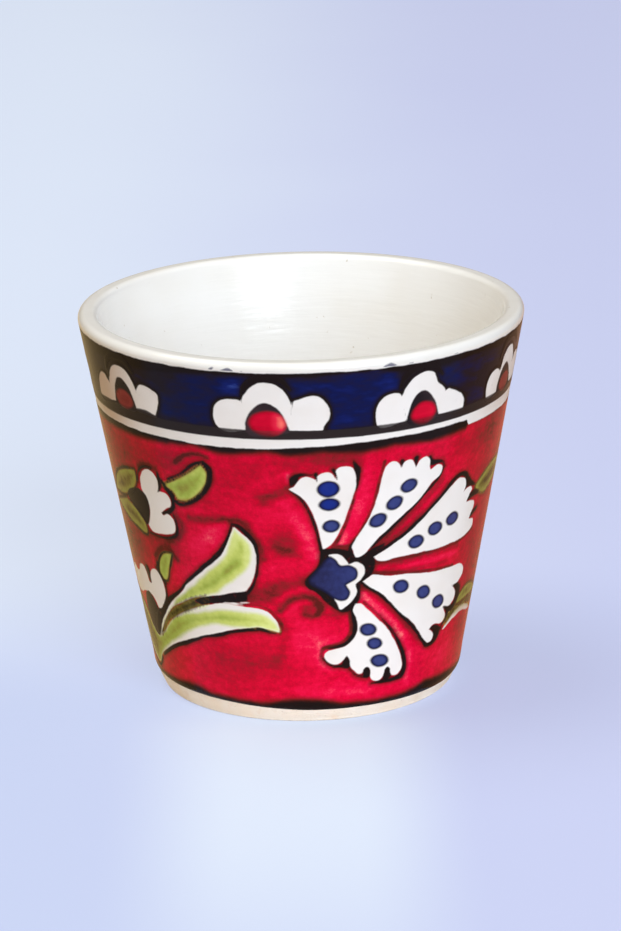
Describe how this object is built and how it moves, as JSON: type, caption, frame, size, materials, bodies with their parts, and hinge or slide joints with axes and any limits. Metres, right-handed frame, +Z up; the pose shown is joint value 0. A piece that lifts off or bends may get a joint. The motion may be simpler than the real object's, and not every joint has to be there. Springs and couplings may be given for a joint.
{
  "type": "espresso cup",
  "caption": "Handleless flared ceramic espresso cup: white glazed inside and lip, painted blue border and red wall, bare foot ring.",
  "frame": {"origin": "centre of the foot ring, on the plane the cup stands on", "axes": "+Z up along the cup's axis of turning; -Y faces the viewer of the picture, +X to the viewer's right"},
  "size_m": [0.07, 0.07, 0.061],
  "materials": {
    "biscuit": "matte bare fired clay",
    "white_glaze": "gloss",
    "cobalt_glaze": "gloss, brushed colour under clear glaze",
    "red_glaze": "gloss, brushed colour under clear glaze",
    "black_line": "gloss, brushed line under clear glaze"
  },
  "bodies": {
    "root": {"clay_body": "biscuit", "inside_glaze": "white_glaze", "rim_line": "black_line", "cobalt_border": "cobalt_glaze", "border_line": "black_line", "white_line": "white_glaze", "field_line": "black_line", "red_field": "red_glaze", "foot_line": "black_line"}
  },
  "joints": []
}
